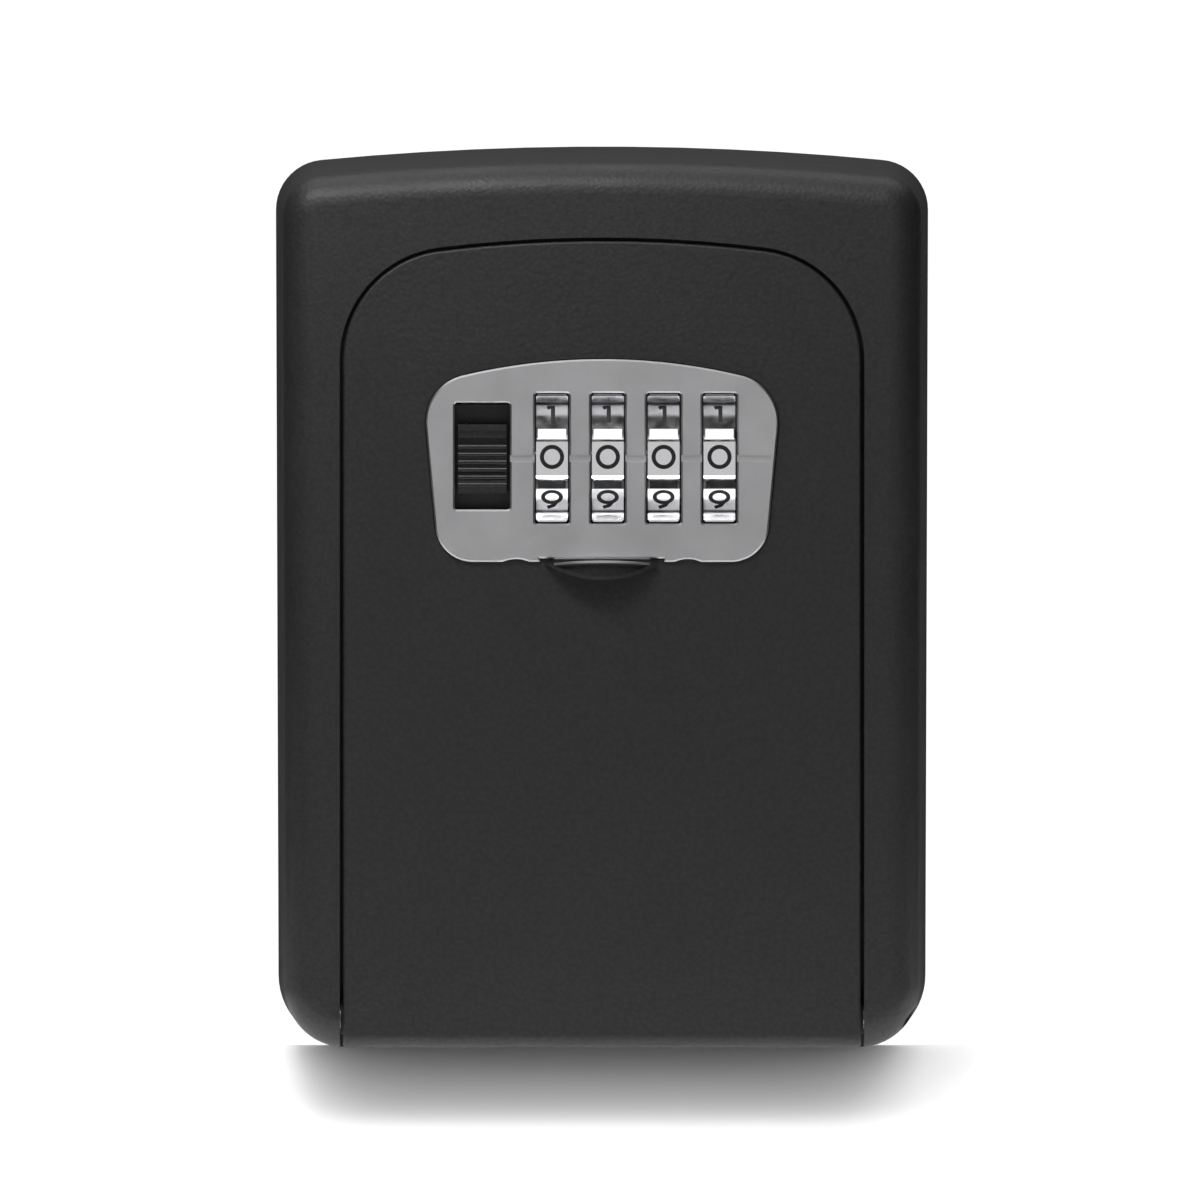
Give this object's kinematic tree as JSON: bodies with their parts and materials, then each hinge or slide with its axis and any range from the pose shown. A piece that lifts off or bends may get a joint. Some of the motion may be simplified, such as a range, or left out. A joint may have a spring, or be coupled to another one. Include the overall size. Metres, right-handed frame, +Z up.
{
  "type": "key lock box",
  "caption": "Wall-mounted key lock box: bottom-hinged arched door, wheel combination lock, thumb opener and key cavity.",
  "frame": {"origin": "centre of the flat back face, which is the centre of the wall-screw pattern", "axes": "+Z up along the box's height, -Y out of the front door, +Y into the wall, +X to the right seen from the front"},
  "size_m": [0.085, 0.0433, 0.117],
  "materials": {
    "powder_coat": "fine pebbled charcoal powder coat, satin",
    "door_coat": "fine pebbled charcoal powder coat, slightly coarser, satin",
    "satin_silver": "satin silver plated die casting with bright edges",
    "wheel_chrome": "satin chrome number wheels with black digits",
    "black_plastic": "black moulded nylon, matte",
    "button_black": "black moulded plastic, soft gloss",
    "steel": "zinc-plated steel",
    "spring_steel": "bright spring steel",
    "zinc_steel": "zinc-plated pressed steel",
    "zinc_cover": "dark grey cast cover",
    "cam_zinc": "dark zinc die casting, as cast"
  },
  "bodies": {
    "housing": {"housing": "powder_coat", "hinge_pin": "steel"},
    "door": {"door_panel": "door_coat", "dial_bezel": "satin_silver", "lock_case": "black_plastic", "lock_cover": "zinc_cover", "cover_screws": "steel", "case_screws": "steel", "detent_spring": "spring_steel", "detent_screws": "steel", "latch_springs": "spring_steel"},
    "code_shaft": {"wheel_shaft": "steel", "shaft_clips": "spring_steel", "reset_lever": "black_plastic", "code_cam_1": "cam_zinc", "code_cam_2": "cam_zinc", "code_cam_3": "cam_zinc", "code_cam_4": "cam_zinc"},
    "latch": {"latch_plate": "zinc_steel", "opener_button": "button_black", "opener_screw": "steel"},
    "wheel_1": {"dial_wheel_1": "wheel_chrome"},
    "wheel_2": {"dial_wheel_2": "wheel_chrome"},
    "wheel_3": {"dial_wheel_3": "wheel_chrome"},
    "wheel_4": {"dial_wheel_4": "wheel_chrome"}
  },
  "joints": [
    {"name": "door_swing", "type": "hinge", "parent": "housing", "child": "door", "pos_m": [0, -0.03625, -0.05335], "axis": [1, 0, 0], "range_deg": [0, 95]},
    {"name": "wheel_1_turn", "type": "hinge", "parent": "door", "child": "wheel_1", "pos_m": [-0.00645, -0.0319, 0.019], "axis": [1, 0, 0], "continuous": true, "deforming": ["detent_spring"]},
    {"name": "wheel_2_turn", "type": "hinge", "parent": "door", "child": "wheel_2", "pos_m": [0.00075, -0.0319, 0.019], "axis": [1, 0, 0], "continuous": true, "deforming": ["detent_spring"]},
    {"name": "wheel_3_turn", "type": "hinge", "parent": "door", "child": "wheel_3", "pos_m": [0.00795, -0.0319, 0.019], "axis": [1, 0, 0], "continuous": true, "deforming": ["detent_spring"]},
    {"name": "wheel_4_turn", "type": "hinge", "parent": "door", "child": "wheel_4", "pos_m": [0.01515, -0.0319, 0.019], "axis": [1, 0, 0], "continuous": true, "deforming": ["detent_spring"]},
    {"name": "opener_slide", "type": "slide", "parent": "door", "child": "latch", "axis": [0, 0, 1], "range_m": [0, 0.0025], "stiffness_N_per_m": 600, "springref_m": 0.0035, "deforming": ["latch_springs"]},
    {"name": "code_change_shift", "type": "slide", "parent": "door", "child": "code_shaft", "axis": [-1, 0, 0], "range_m": [0, 0.0012]}
  ]
}
